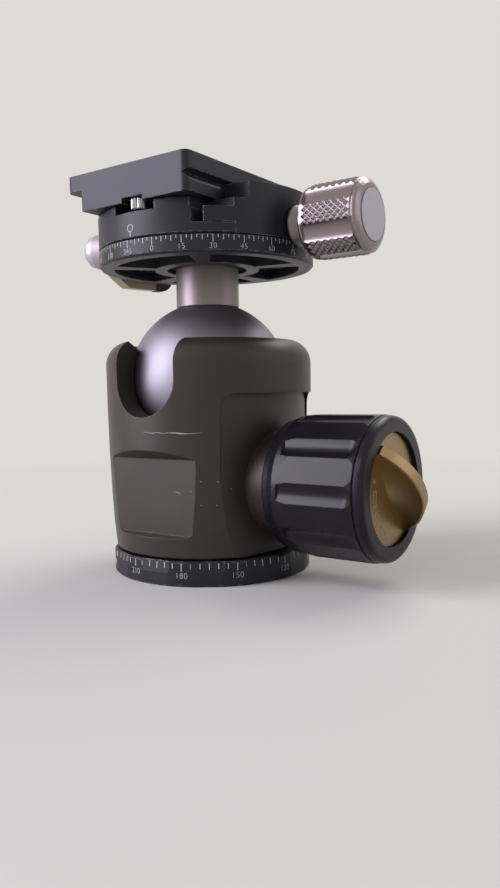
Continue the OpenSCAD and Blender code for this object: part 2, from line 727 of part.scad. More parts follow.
// ---------- release plate ----------
module plate_profile() {
    polygon([[-half_dt, plate_z], [half_dt, plate_z], [half_dt, vee_low],
        [half_dt - vee_in, vee_z], [half_dt, vee_top], [half_dt, plate_top],
        [-half_dt - overhang, plate_top], [-half_dt - overhang, vee_top],
        [-half_dt, vee_top], [-half_dt + vee_in, vee_z], [-half_dt, vee_low]]);
}
module plate_outline() {
    r = 2;
    x0 = -half_dt - overhang;
    x1 = half_dt;
    y = plate_l / 2;
    translate([x0 + r, -y]) square([x1 - x0 - 2 * r, 2 * y]);
    translate([x0, -y + r]) square([x1 - x0, 2 * (y - r)]);
    for (x = [x0 + r, x1 - r], s = [-1, 1]) translate([x, s * (y - r)]) circle(r = r);
}
module release_plate() color(black) {
    difference() {
        intersection() {
            union() {
                prism_y(-plate_l / 2, plate_l / 2) plate_profile();
                translate([-half_dt, -plate_l / 2, plate_z + 1]) cube([3, 4.8, vee_top - plate_z]);
            }
            translate([0, 0, plate_z - 1]) linear_extrude(height = plate_t + 2) plate_outline();
        }
        for (s = [-1, 1]) translate([-3.7, s > 0 ? stop_y - 2.8 : -60, plate_z - 1])
            cube([7.4, 60 - stop_y + 2.8, 2.3]);
        for (s = [-1, 1]) translate([0, s * stop_y, plate_z]) cylinder(r = 1.5, h = 6);
        // slot for the camera screw
        translate([-3.5, -9, plate_z - 1]) cube([7, 18, 20]);
        for (s = [-1, 1]) translate([0, 9 * s, plate_z - 1]) cylinder(r = 3.5, h = 20);
        translate([-8.6, -9, plate_z - 1]) cube([17.2, 18, 6.2]);
        for (s = [-1, 1]) translate([0, 9 * s, plate_z - 1]) cylinder(r = 8.6, h = 6.2);
        // grooves for the pads
        for (x = [-17.5, 8.5]) translate([x, -plate_l / 2 + 4, plate_top - 0.5])
            cube([7, plate_l - 8, 2]);
    }
}
module plate_pads() color(rubber) {
    for (x = [-17.5, 8.5]) translate([x, -plate_l / 2 + 4, plate_top - 0.5])
        cube([7, plate_l - 8, 0.9]);
}
module stop_screws() color(steel) {
    for (s = [-1, 1]) translate([0, s * stop_y, 0]) {
        translate([0, 0, plate_z - 1.9]) cylinder(r = 2.1, h = 3.1);
        translate([0, 0, plate_z]) cylinder(r = 1.5, h = 5.8);
    }
}
module screw_clip() color(steel) {
    translate([0, 0, plate_z + 4.2]) tube(8.2, 2.5 + slip, 0.7);
}
module camera_screw() color(steel) {
    difference() {
        union() {
            translate([0, 0, plate_z + 0.5]) cylinder(r = 8, h = 3.6);
            translate([0, 0, plate_z + 2]) cylinder(r = 2.5, h = plate_t);
            translate([0, 0, plate_top + 0.1]) cylinder(r = stud_r, h = 5.2);
        }
        translate([-9, -0.8, plate_z - 1]) cube([18, 1.6, 2.7]);
    }
}

base_plate();
base_ring();
base_screws();
thread_insert();
pan_washer();
pan_retainer();
retainer_screws();
housing();
housing_floor();
cup_spacer();
wave_spring();
ball_cup();
neck_liner();
lock_bush();
ball_liner();
ball();
stem();
stem_bolt();
disc_pins();
pan_disc();
clamp_retainer();
clamp_screws();
lock_wedge();
lock_shaft();
shaft_clip();
knob_core();
knob_screw();
lock_knob();
friction_dial();
dial_plate();
dial_clip();
detent_ball();
detent_spring();
pan_knob();
pan_screw();
pan_knob_cap();
pan_shoe();
clamp_bearing();
clamp_body();
guide_pins();
jaw_springs();
lever_shoe();
pan_lever();
lever_tip();
lever_hub();
lever_screw();
moving_jaw();
jaw_washer();
clamp_knob();
knob_neck();
clamp_knob_cap();
clamp_screw();
release_plate();
plate_pads();
stop_screws();
screw_clip();
camera_screw();
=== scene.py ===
import json
import math

import bmesh
import bpy
from mathutils import Matrix, Vector
from mathutils.bvhtree import BVHTree


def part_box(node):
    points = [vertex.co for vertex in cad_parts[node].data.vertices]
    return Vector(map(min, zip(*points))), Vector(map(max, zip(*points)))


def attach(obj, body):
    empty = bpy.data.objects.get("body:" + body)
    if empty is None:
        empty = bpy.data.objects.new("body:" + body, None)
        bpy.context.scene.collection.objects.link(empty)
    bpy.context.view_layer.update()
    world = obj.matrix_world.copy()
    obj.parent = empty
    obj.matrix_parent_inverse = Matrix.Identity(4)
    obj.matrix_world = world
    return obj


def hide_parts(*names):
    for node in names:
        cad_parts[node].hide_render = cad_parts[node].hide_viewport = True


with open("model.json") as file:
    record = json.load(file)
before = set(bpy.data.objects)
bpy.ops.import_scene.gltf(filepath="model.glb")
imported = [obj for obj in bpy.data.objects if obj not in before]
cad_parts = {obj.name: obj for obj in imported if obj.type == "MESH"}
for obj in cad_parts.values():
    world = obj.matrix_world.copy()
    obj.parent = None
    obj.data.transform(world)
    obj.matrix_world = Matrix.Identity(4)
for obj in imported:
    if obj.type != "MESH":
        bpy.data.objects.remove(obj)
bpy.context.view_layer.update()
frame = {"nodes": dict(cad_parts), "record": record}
nodes = frame["nodes"]

MM = 0.001      # metres in a millimetre


def box_mm(node):
    """A CAD node's lowest and highest corners in millimetres, to the micron."""
    return [[round(value / MM, 3) for value in corner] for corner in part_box(node)]


# ---------- places, in millimetres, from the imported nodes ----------
plate_low, plate_high = box_mm("release_plate")
PLATE_Z = plate_low[2]                          # underside of the release plate
STOP_Y = plate_high[1] - 2.8                    # stop screws, either side of the middle
knob_low, knob_high = box_mm("clamp_knob")
KNOB_X = knob_low[0]                            # inner end of the clamp knob
KNOB_AXIS_Z = (knob_low[2] + knob_high[2]) / 2
DIAL_FACE_X = box_mm("lock_knob")[1][0] - 1.1   # the dial lies inside the lock knob's rim
RING_TOP = box_mm("base_ring")[1][2]
DISC_LOW = box_mm("pan_disc")[0][2]
clamp_low = box_mm("clamp_body")[0]
CLAMP_R = -clamp_low[0]                         # the clamp's round side
CLAMP_LOW = clamp_low[2]
HOUSING_R = 30.8                                # about, to tell how long a scratch is

# ---------- how marks are laid on a round skin, in millimetres ----------
MARK_BEND_R = 31        # a flat mark is bent round this radius, about that of ring and disc
MARK_BLANK = 0.02       # thickness of a mark while it is flat
MARK_LIFT = 0.03        # its face stands this far over the skin, and its back as far under
SCRATCH_LIFT = 0.015
RAY_START_R = 60        # the ray that finds the skin starts this far from the Z axis
NO_SKIN_R = 30          # taken where that ray meets nothing


# ---------- small helpers ----------
def srgb(hex_colour):
    """#rrggbb as linear RGBA."""
    parts = [int(hex_colour[i:i + 2], 16) / 255 for i in (1, 3, 5)]
    return [p / 12.92 if p <= 0.04045 else ((p + 0.055) / 1.055) ** 2.4 for p in parts] + [1.0]


def add(tree, kind, inputs=None, **settings):
    """One shader node: settings are its properties, inputs are values or (node, output) links."""
    made = tree.nodes.new(kind)
    for name, value in settings.items():
        setattr(made, name, value)
    for name, value in (inputs or {}).items():
        if isinstance(value, tuple) and isinstance(value[0], bpy.types.Node):
            tree.links.new(value[0].outputs[value[1]], made.inputs[name])
        else:
            made.inputs[name].default_value = value
    return made


def new_material(name):
    mat = bpy.data.materials.new(name)
    mat.use_nodes = True
    mat.node_tree.nodes.clear()
    return mat, mat.node_tree


def finish_material(tree, shader):
    out = add(tree, "ShaderNodeOutputMaterial")
    tree.links.new(shader.outputs[0], out.inputs["Surface"])


def scale_for(size_mm):
    """The texture scale whose features are about that many millimetres wide."""
    return 1 / (size_mm * MM)


def new_object(name, data):
    obj = bpy.data.objects.new(name, data)
    bpy.context.scene.collection.objects.link(obj)
    return obj


def new_mesh(name, made):
    """A bmesh written to a mesh of its own, and freed."""
    mesh = bpy.data.meshes.new(name)
    made.to_mesh(mesh)
    made.free()
    return mesh


def finished_mesh(obj):
    """What an object shows, as a plain mesh: its modifiers applied, or its text filled."""
    bpy.context.view_layer.update()
    graph = bpy.context.evaluated_depsgraph_get()
    return bpy.data.meshes.new_from_object(obj.evaluated_get(graph))


def piece(name, made, body, mat):
    """A bmesh becomes an object that rides on a body and takes the finish it is given."""
    mesh = new_mesh(name, made)
    mesh.materials.append(mat)
    obj = new_object(name, mesh)
    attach(obj, body)
    return obj


def verts_in(geometry):
    return [part for part in geometry if isinstance(part, bmesh.types.BMVert)]


def edges_in(geometry):
    return [part for part in geometry if isinstance(part, bmesh.types.BMEdge)]


def edges_at(verts):
    return list({edge for vert in verts for edge in vert.link_edges})


def set_radius(vert, radius):
    """Moves a point level, straight out from or in to the Z axis."""
    flat = vert.co.xy
    vert.co.xy = flat * (radius * MM / flat.length)


def tidy_mesh(made):
    """Merges points that meet and turns the faces outwards."""
    bmesh.ops.remove_doubles(made, verts=made.verts, dist=1e-6)
    bmesh.ops.recalc_face_normals(made, faces=made.faces)


# ---------- kinds of finish ----------
# what an anodised skin shows, in millimetres
CLOUD = 14              # soft clouds in its tone
DUST_APART = 2.2        # from one dust speck to the next
DUST_PATCH = 9          # places where dust has gathered
# edges are painted paler in patches this wide: partly raw metal, partly a painted highlight
EDGE_WEAR_AND_HIGHLIGHT_PATCH = 1.6      # bare patches along an edge

BUMP_DEPTH = 0.02       # millimetres, of grit and of tool lines
GRAIN_DEPTH = 0.05      # millimetres, of a moulded grain


def anodised(name, dark, light, rough, metal=0.0, grit_mm=0.30, bump=0.12, dusty=0.05,
             wear_and_highlight=0.5, bare_metal_and_highlight="#77747c", film=0.5):
    """Aluminium, blasted or fine-machined and then anodised: an even satin skin, fine grit that
    breaks the highlights, a faint cloudy change of tone and a few grains of dust. The machined
    edges are broken by 0.3 mm and catch the light, and in patches along them the colour is painted
    paler: partly raw metal rubbed through, partly a painted highlight.
    film is the specular level: a deeply dyed film gives less of the room back than 0.5. Blasting
    leaves pits about 0.1 mm wide, too fine to show, so grit_mm draws them wider."""
    dust, edge_mm = "#8a8680", 0.3
    mat, tree = new_material(name)
    where = add(tree, "ShaderNodeTexCoord")
    grit = add(tree, "ShaderNodeTexNoise",
               {"Vector": (where, "Object"), "Scale": scale_for(grit_mm), "Detail": 3.0})
    cloud = add(tree, "ShaderNodeTexNoise",
                {"Vector": (where, "Object"), "Scale": scale_for(CLOUD), "Detail": 3.0})
    tone = add(tree, "ShaderNodeMix",
               {"Factor": (cloud, "Fac"), "A": srgb(dark), "B": srgb(light)}, data_type="RGBA")
    # dust specks about 0.25 mm across: within 0.075 of the way from one speck to the next
    speck = add(tree, "ShaderNodeTexVoronoi",
                {"Vector": (where, "Object"), "Scale": scale_for(DUST_APART)}, feature="F1")
    some = add(tree, "ShaderNodeTexNoise",
               {"Vector": (where, "Object"), "Scale": scale_for(DUST_PATCH), "Detail": 1.0})
    near = add(tree, "ShaderNodeMapRange",
               {"Value": (speck, "Distance"), "From Min": 0.045, "From Max": 0.075,
                "To Min": dusty, "To Max": 0.0})
    here = add(tree, "ShaderNodeMath", {0: (near, "Result"), 1: (some, "Fac")},
               operation="MULTIPLY")
    skin = add(tree, "ShaderNodeMix", {"Factor": (here, "Value"), "A": (tone, 2), "B": srgb(dust)},
               data_type="RGBA")
    gloss = add(tree, "ShaderNodeMapRange",
                {"Value": (cloud, "Fac"), "To Min": rough - 0.06, "To Max": rough + 0.06})
    # edges: where the broken edge's direction leaves the face's own, by 10 to 26 degrees
    edge = add(tree, "ShaderNodeBevel", {"Radius": edge_mm * MM}, samples=4)
    face = add(tree, "ShaderNodeNewGeometry")
    turn = add(tree, "ShaderNodeVectorMath", {0: (edge, "Normal"), 1: (face, "Normal")},
               operation="DOT_PRODUCT")
    bend = add(tree, "ShaderNodeMapRange",
               {"Value": (turn, "Value"), "From Min": 0.985, "From Max": 0.9,
                "To Min": 0.0, "To Max": 1.0})
    rub = add(tree, "ShaderNodeTexNoise",
              {"Vector": (where, "Object"), "Scale": scale_for(EDGE_WEAR_AND_HIGHLIGHT_PATCH), "Detail": 4.0})
    patch = add(tree, "ShaderNodeMapRange",
                {"Value": (rub, "Fac"), "From Min": 0.45, "From Max": 0.72,
                 "To Min": 0.06 * wear_and_highlight, "To Max": wear_and_highlight})
    # painted highlight and wear: along the edges the skin is mixed towards a pale colour that stands
    # both for raw metal rubbed through and for the light the edges catch
    wear_and_highlight_mask = add(tree, "ShaderNodeMath", {0: (bend, "Result"), 1: (patch, "Result")},
               operation="MULTIPLY")
    skin = add(tree, "ShaderNodeMix", {"Factor": (wear_and_highlight_mask, "Value"), "A": (skin, 2), "B": srgb(bare_metal_and_highlight)},
               data_type="RGBA")
    relief = add(tree, "ShaderNodeBump",
                 {"Height": (grit, "Fac"), "Distance": BUMP_DEPTH * MM, "Strength": bump,
                  "Normal": (edge, "Normal")})
    shader = add(tree, "ShaderNodeBsdfPrincipled",
                 {"Base Color": (skin, 2), "Roughness": (gloss, "Result"),
                  "Normal": (relief, "Normal"), "Metallic": metal, "Specular IOR Level": film})
    finish_material(tree, shader)
    return mat


def turned_metal(name, dark, light, rough, axis="Z", bump=0.06):
    """Metal off the lathe: fine rings round the axis, so the light smears across them, with a
    little grain on top. Tool lines are about 0.05 mm apart, too fine to show, and are drawn
    0.12 mm apart."""
    line_mm, grain_mm = 0.12, 0.4
    mat, tree = new_material(name)
    where = add(tree, "ShaderNodeTexCoord")
    split = add(tree, "ShaderNodeSeparateXYZ", {"Vector": (where, "Object")})
    along = add(tree, "ShaderNodeMath", {0: (split, axis), 1: scale_for(line_mm)},
                operation="MULTIPLY")
    rings = add(tree, "ShaderNodeTexNoise", {"W": (along, "Value"), "Scale": 1.0, "Detail": 2.0},
                noise_dimensions="1D")
    grain = add(tree, "ShaderNodeTexNoise",
                {"Vector": (where, "Object"), "Scale": scale_for(grain_mm), "Detail": 3.0})
    both = add(tree, "ShaderNodeMix", {"Factor": 0.5, "A": (rings, "Fac"), "B": (grain, "Fac")},
               data_type="FLOAT")
    tone = add(tree, "ShaderNodeMix", {"Factor": (both, 0), "A": srgb(dark), "B": srgb(light)},
               data_type="RGBA")
    gloss = add(tree, "ShaderNodeMapRange",
                {"Value": (both, 0), "To Min": rough - 0.08, "To Max": rough + 0.08})
    relief = add(tree, "ShaderNodeBump",
                 {"Height": (both, 0), "Distance": BUMP_DEPTH * MM, "Strength": bump})
    shader = add(tree, "ShaderNodeBsdfPrincipled",
                 {"Base Color": (tone, 2), "Roughness": (gloss, "Result"),
                  "Normal": (relief, "Normal"), "Metallic": 1.0})
    finish_material(tree, shader)
    return mat


def polymer(name, dark, light, rough, bump, sheen=0.0):
    """Polymer, rubber or paint: matt, finely grained, no metal in it. The grain is drawn 0.5 mm
    wide, several times as coarse as the real one, so that it shows."""
    grain_mm = 0.5
    mat, tree = new_material(name)
    where = add(tree, "ShaderNodeTexCoord")
    grain = add(tree, "ShaderNodeTexNoise",
                {"Vector": (where, "Object"), "Scale": scale_for(grain_mm), "Detail": 4.0})
    tone = add(tree, "ShaderNodeMix",
               {"Factor": (grain, "Fac"), "A": srgb(dark), "B": srgb(light)}, data_type="RGBA")
    relief = add(tree, "ShaderNodeBump",
                 {"Height": (grain, "Fac"), "Distance": GRAIN_DEPTH * MM, "Strength": bump})
    shader = add(tree, "ShaderNodeBsdfPrincipled",
                 {"Base Color": (tone, 2), "Roughness": rough, "Normal": (relief, "Normal"),
                  "Sheen Weight": sheen})
    finish_material(tree, shader)
    return mat


# ---------- materials ----------
# Base ring, pan disc, clamp and plate: a neutral satin black whose milled edges are painted as
# thin bright lines, partly wear and partly a painted highlight.
black = anodised("black_anodised_aluminium_blasted", "#232329", "#2b2b32", 0.44,
                 metal=0.3, wear_and_highlight=1.3, bare_metal_and_highlight="#a9a5ad", film=0.35)
# Housing: a black dye that has turned brown, with soft broad highlights and hardly any painted wear
# and highlight on its edges.
brown_black = anodised("brown_black_anodised_aluminium_blasted", "#362d29", "#413733",
                       0.42, metal=0.25, wear_and_highlight=0.35, film=0.4)
# Lock knob: finely turned before it is dyed, so it is the deepest black with the tightest shine.
knob_black = anodised("black_anodised_aluminium_fine_turned", "#16131a", "#1c1920", 0.28,
                      metal=0.1, grit_mm=0.5, bump=0.03, dusty=0.02, wear_and_highlight=0.3, film=0.25)
# Ball: a thick undyed hard film on polished metal, an even mid grey with a soft wide shine.
ball_skin = anodised("hard_anodised_aluminium_ball", "#85828b", "#918e97", 0.50,
                     metal=0.9, bump=0.10, wear_and_highlight=0.0)
# Stem, pan knob and the clamp knob's neck: a warm grey metal with a frosted sparkle.
titanium = anodised("titanium_anodised_aluminium_fine_blasted", "#7d7273", "#8f8586",
                    0.44, metal=1.0, grit_mm=0.35, bump=0.45, dusty=0.0, wear_and_highlight=0.2,
                    bare_metal_and_highlight="#c8c2c4")
# Clamp knob: the same grey over cut diamonds, smoother, so each one flashes by itself.
knurl_metal = anodised("titanium_anodised_aluminium_knurled", "#83787a", "#958a8c", 0.24,
                       metal=1.0, grit_mm=0.6, bump=0.03, dusty=0.0)
# Clamp knob's cap and the lever's hub: flat faced ends, painted pale and even, a lit copy of the
# titanium that stands for the light falling on these ends.
titanium_cap_painted_lit = anodised("titanium_anodised_aluminium_faced_painted_lit", "#b3aab4", "#bcb4bd", 0.55,
                        metal=0.8, grit_mm=0.4, bump=0.05, dusty=0.0, wear_and_highlight=0.0)
# Pan lever: a pale gold film over blasting, soft and grainy.
lever_skin = anodised("champagne_anodised_aluminium_blasted", "#a3977f", "#b0a48b", 0.42,
                      metal=0.8, grit_mm=0.4, bump=0.1, dusty=0.0, wear_and_highlight=0.2,
                      bare_metal_and_highlight="#d0cabc")
# Scratches: the dye is gone, and pale raw metal shows.
bare_scratch = anodised("bare_aluminium_scratched", "#a9a7aa", "#c4c2c5", 0.5,
                        metal=0.3, dusty=0.0, wear_and_highlight=0.0)
# Screws, shafts and springs: bright grey, with rings that smear the light.
steel = turned_metal("stainless_steel_turned", "#a3a19e", "#b9b7b4", 0.30)
# Friction dial and the pan knob's cap: a brown gold film that follows the turned rings.
champagne = turned_metal("champagne_anodised_aluminium_turned", "#927b57", "#a18a65", 0.34,
                         axis="X", bump=0.03)
# Ball cup, bush and jaw washer: reddish gold and bare.
bronze = turned_metal("bronze_turned", "#a07a4c", "#b18a5a", 0.32)
# The shoes of pan knob and lever: yellower and brighter than the bronze.
brass = turned_metal("brass_turned", "#c9a55c", "#d6b46c", 0.28)
# Neck liner: nearly black, with a dull waxy shine.
liner_black = polymer("filled_fluoropolymer_turned", "#161618", "#1d1d20", 0.5, 0.05)
# Washers and ball liner: white and waxy, without grain to speak of.
liner_white = polymer("fluoropolymer_sheet_skived", "#dcdcd8", "#e6e6e2", 0.45, 0.05)
# Plate pads: the mattest black here, with a faint dusty sheen at a low angle.
pad_rubber = polymer("nitrile_rubber_moulded", "#17171a", "#222226", 0.75, 0.3, sheen=0.1)
# Lever tip: a dark brown painted shade on the blade's end, smooth with a soft shine.
lever_tip_painted_shade = polymer("brown_lever_tip_painted_shade", "#3a2521", "#49302a", 0.55, 0.1)
# Scales: flat off-white paint that lies in the engraved lines.
paint = polymer("white_engraving_paint", "#bdbdc1", "#d6d6da", 0.6, 0.1)
# Dial: a grey brown paint that hardly stands out from the champagne.
faint_paint = polymer("grey_engraving_paint", "#978b78", "#a59a87", 0.6, 0.1)

finish_of_slot = {
    "black_satin": black, "brown_black": brown_black, "knob_black": knob_black,
    "ball_grey": ball_skin, "titanium": titanium, "champagne": champagne,
    "steel": steel, "bronze": bronze, "brass": brass,
    "liner_white": liner_white, "liner_black": liner_black,
    "rubber_black": pad_rubber, "tip_brown": lever_tip_painted_shade,
}
finish_of_node = {
    "clamp_knob_cap": titanium_cap_painted_lit, "lever_hub": titanium_cap_painted_lit, "pan_lever": lever_skin,
}
for row in frame["record"]["subparts"]:
    mesh = nodes[row["node"]].data
    mesh.materials.clear()
    mesh.materials.append(finish_of_node.get(row["node"], finish_of_slot[row["material_slot"]]))


# ---------- engraved scales ----------
def skin_of(node):
    """A tree of a CAD node's faces, to lay a mark on its surface."""
    mesh = nodes[node].data
    faces = [face.vertices for face in mesh.polygons]
    return BVHTree.FromPolygons([vert.co for vert in mesh.vertices], faces)


def skin_radius(skin, out, z):
    """How far the skin is from the Z axis in a level direction at a height, all in metres."""
    hit = skin.ray_cast(out * RAY_START_R * MM + Vector((0, 0, z)), -out)[0]
    return hit.xy.length if hit else NO_SKIN_R * MM


def lay_round(verts, degrees, height, skin):
    """Flat marks (x along the rim, y up, z outwards) bent round the Z axis onto a skin. degrees
    counts from -Y towards +X."""
    for vert in verts:
        z = height * MM + vert.co.y
        turn = math.radians(degrees - 90) + vert.co.x / (MARK_BEND_R * MM)
        out = Vector((math.cos(turn), math.sin(turn), 0))
        lift = MARK_LIFT if vert.co.z > 0 else -MARK_LIFT
        vert.co = out * (skin_radius(skin, out, z) + lift * MM) + Vector((0, 0, z))


def stroke(made, degrees, top, length, width, skin):
    """One graduation line, hanging down from top."""
    verts = bmesh.ops.create_cube(made, size=1.0)["verts"]
    bmesh.ops.scale(made, vec=(width * MM, length * MM, MARK_BLANK * MM), verts=verts)
    lay_round(verts, degrees, top - length / 2, skin)


def numeral(made, text, degrees, middle, size, skin):
    """One engraved number, its digits size high, centred on its graduation line."""
    curve = bpy.data.curves.new("numeral", "FONT")
    curve.body = text
    curve.size = 1.38 * size * MM           # the font's digits are 1 / 1.38 of its size
    curve.offset = -0.034 * size * MM       # a thin engraving line
    curve.extrude = MARK_BLANK / 2 * MM
    curve.align_x = "CENTER"
    curve.align_y = "CENTER"
    curve.space_character = 1.06
    holder = new_object("numeral", curve)
    flat = finished_mesh(holder)
    before = set(made.verts)
    made.from_mesh(flat)
    lay_round([vert for vert in made.verts if vert not in before], degrees, middle, skin)
    bpy.data.objects.remove(holder)
    bpy.data.curves.remove(curve)
    bpy.data.meshes.remove(flat)


def scale_piece(name, made, body):
    """A finished scale: points that meet are merged, and it is painted."""
    bmesh.ops.remove_doubles(made, verts=made.verts, dist=1e-7)
    piece(name, made, body, paint)


def base_scale():
    """Graduation of the pan base: 5 degree lines from the ring's top edge, a number every 30,
    counting down from 180."""
    first, step, width, digits = 20.9, 5, 0.22, 1.75
    made = bmesh.new()
    skin = skin_of("base_ring")
    for count in range(360 // step):
        mark = 180 - step * count
        degrees = first + step * count
        length = 2.1 if mark % 30 == 0 else 1.75 if mark % 15 == 0 else 1.5
        stroke(made, degrees, RING_TOP - 0.45, length, width, skin)
        if mark % 30 == 0:
            numeral(made, str(mark % 360), degrees, RING_TOP - 3.9, digits, skin)
    scale_piece("base_scale", made, "base")


def disc_scale():
    """Graduation of the pan disc: 2.5 degree lines, longer at 5 and 15, a number every 15."""
    first, step, width, digits = 11, 2.5, 0.17, 1.5
    made = bmesh.new()
    skin = skin_of("pan_disc")
    for count in range(int(360 / step)):
        mark = step * count
        degrees = first + mark
        length = 2.0 if mark % 15 == 0 else 1.35 if mark % 5 == 0 else 0.8
        stroke(made, degrees, DISC_LOW + 4.6, length, width, skin)
        if mark % 15 == 0:
            numeral(made, str(int(mark)), degrees, DISC_LOW + 1.65, digits, skin)
    scale_piece("disc_scale", made, "ball")


def clamp_index():
    """The clamp's index mark, 1 mm left of its middle: a small ring with a line down to the
    seam."""
    made = bmesh.new()
    skin = skin_of("clamp_body")
    degrees = math.degrees(math.asin(-1.0 / CLAMP_R))
    stroke(made, degrees, CLAMP_LOW + 1.7, 1.35, 0.2, skin)
    outer = bmesh.ops.create_circle(made, segments=24, radius=1.0 * MM)["verts"]
    inner = bmesh.ops.create_circle(made, segments=24, radius=0.84 * MM)["verts"]
    bmesh.ops.bridge_loops(made, edges=edges_at(outer + inner))
    faces = list({face for vert in outer for face in vert.link_faces})
    thick = bmesh.ops.solidify(made, geom=faces, thickness=MARK_BLANK * MM)
    verts = list(set(outer + inner) | set(verts_in(thick["geom"])))
    low = min(vert.co.z for vert in verts)
    bmesh.ops.translate(made, vec=(0, 0, -low - MARK_BLANK / 2 * MM), verts=verts)
    lay_round(verts, degrees, CLAMP_LOW + 2.65, skin)
    bmesh.ops.recalc_face_normals(made, faces=made.faces)
    piece("clamp_index_mark", made, "clamp", paint)


base_scale()
disc_scale()
clamp_index()


# ---------- use marks and the dial's outlines ----------
def scratch(made, first, last, width, skin):
    """A shallow scratch from (degrees, height) to (degrees, height), widest in the middle and
    swaying a little if it is long."""
    length = math.hypot((last[0] - first[0]) * math.radians(HOUSING_R), last[1] - first[1])
    cuts = max(1, int(length / 0.5))
    verts = bmesh.ops.create_grid(made, x_segments=cuts, y_segments=1, size=0.5)["verts"]
    for vert in verts:
        part = vert.co.x + 0.5
        sway = 0.12 * math.sin(9 * part + first[0]) * min(1.0, length / 8)
        narrow = 1 - 0.75 * abs(2 * part - 1)
        turn = math.radians(first[0] + (last[0] - first[0]) * part - 90)
        height = first[1] + (last[1] - first[1]) * part + sway
        z = height * MM + vert.co.y * 2 * width * MM * narrow
        out = Vector((math.cos(turn), math.sin(turn), 0))
        vert.co = out * (skin_radius(skin, out, z) + SCRATCH_LIFT * MM) + Vector((0, 0, z))


def housing_marks():
    """Use marks in the housing's skin, each (start, end, width)."""
    over_panel = [((1.0, 42.3), (14, 42.2), 0.05), ((11, 42.2), (34, 42.1), 0.08),
                  ((17, 42.3), (26, 41.8), 0.07), ((15.5, 26.0), (20.9, 25.5), 0.06)]
    nicks_by_knob = [((32.1, 29.2), (32.9, 29.0), 0.30), ((40.8, 29.1), (41.5, 28.8), 0.28),
                     ((26.7, 26.5), (27.2, 26.2), 0.26), ((48.3, 26.9), (48.8, 26.6), 0.28),
                     ((32.2, 22.7), (32.7, 22.5), 0.28), ((40.3, 22.7), (40.9, 22.4), 0.26)]
    elsewhere = [((-38, 22.4), (-35.5, 22.9), 0.12), ((96, 38.0), (109, 37.2), 0.11),
                 ((171, 30.5), (184, 31.6), 0.12), ((233, 44.8), (246, 44.2), 0.11)]
    made = bmesh.new()
    skin = skin_of("housing")
    for first, last, width in over_panel + nicks_by_knob + elsewhere:
        scratch(made, first, last, width, skin)
    bmesh.ops.recalc_face_normals(made, faces=made.faces)
    for face in made.faces:
        if face.normal.xy.dot(face.calc_center_median().xy) < 0:
            face.normal_flip()
    piece("housing_scratches", made, "housing", bare_scratch)


def dial_marks():
    """Plain painted outlines on the friction dial's face, from a small triangle to longer and
    longer blocks, that show its setting growing."""
    triangle = [(-10.6, 30.7), (-9.7, 29.4), (-11.3, 29.5)]
    blocks = [[(-9.2, 27.5), (-9.3, 23.3), (-11.1, 23.3), (-11.1, 27.4)],
              [(-9.0, 22.1), (-7.0, 19.3), (-8.4, 18.1), (-10.5, 21.4)],
              [(-6.3, 18.3), (-3.6, 16.0), (-4.4, 14.3), (-7.5, 17.0)]]
    made = bmesh.new()

    def outline(corners, width):
        """A closed outline from (y, z) corners in millimetres."""
        x = (DIAL_FACE_X + MARK_LIFT) * MM
        flat = made.faces.new([made.verts.new((x, y * MM, z * MM)) for y, z in corners])
        flat.normal_update()
        bmesh.ops.inset_region(made, faces=[flat], thickness=width * MM, use_even_offset=True,
                               use_boundary=True)
        made.faces.remove(flat)

    outline(triangle, 0.24)
    for block in blocks:
        outline(block, 0.32)
    bmesh.ops.solidify(made, geom=made.faces[:], thickness=MARK_LIFT * MM)
    bmesh.ops.recalc_face_normals(made, faces=made.faces)
    piece("friction_dial_marks", made, "friction_dial", faint_paint)


housing_marks()
dial_marks()


# ---------- turned and knurled pieces ----------
TURNED_STEPS = 96       # faces round a turned body


def grow_rings(made, rim, steps):
    """Carries an open rim on through rings of (radius, height) and closes the last one."""
    for radius, height in steps:
        grown = bmesh.ops.extrude_edge_only(made, edges=rim)["geom"]
        rim = edges_in(grown)
        for vert in verts_in(grown):
            set_radius(vert, radius)
            vert.co.z = height * MM
    bmesh.ops.holes_fill(made, edges=rim, sides=0)


def turned(profile):
    """A closed body of revolution about Z from (radius, height) pairs."""
    made = bmesh.new()
    line = [made.verts.new((radius * MM, 0, height * MM)) for radius, height in profile]
    edges = [made.edges.new(pair) for pair in zip(line, line[1:])]
    bmesh.ops.spin(made, geom=line + edges, cent=(0, 0, 0), axis=(0, 0, 1), angle=math.tau,
                   steps=TURNED_STEPS, use_merge=True)
    tidy_mesh(made)
    return made


def lay_along_x(made, start, height):
    """Turns a body made along +Z to lie along +X, from start, at that height."""
    quarter = Matrix.Rotation(math.radians(90), 3, "Y")
    bmesh.ops.rotate(made, cent=(0, 0, 0), matrix=quarter, verts=made.verts)
    bmesh.ops.translate(made, vec=(start * MM, 0, height * MM), verts=made.verts)


def carve(obj, cutter_made):
    """Cuts the cutter's shape out of a piece, for good."""
    cutter_mesh = new_mesh("cutter", cutter_made)
    cutter = new_object("cutter", cutter_mesh)
    cut = obj.modifiers.new("cut", "BOOLEAN")
    cut.operation = "DIFFERENCE"
    cut.solver = "EXACT"
    cut.object = cutter
    whole = obj.data
    carved = finished_mesh(obj)
    obj.modifiers.clear()
    obj.data = carved
    bpy.data.meshes.remove(whole)
    bpy.data.objects.remove(cutter)
    bpy.data.meshes.remove(cutter_mesh)


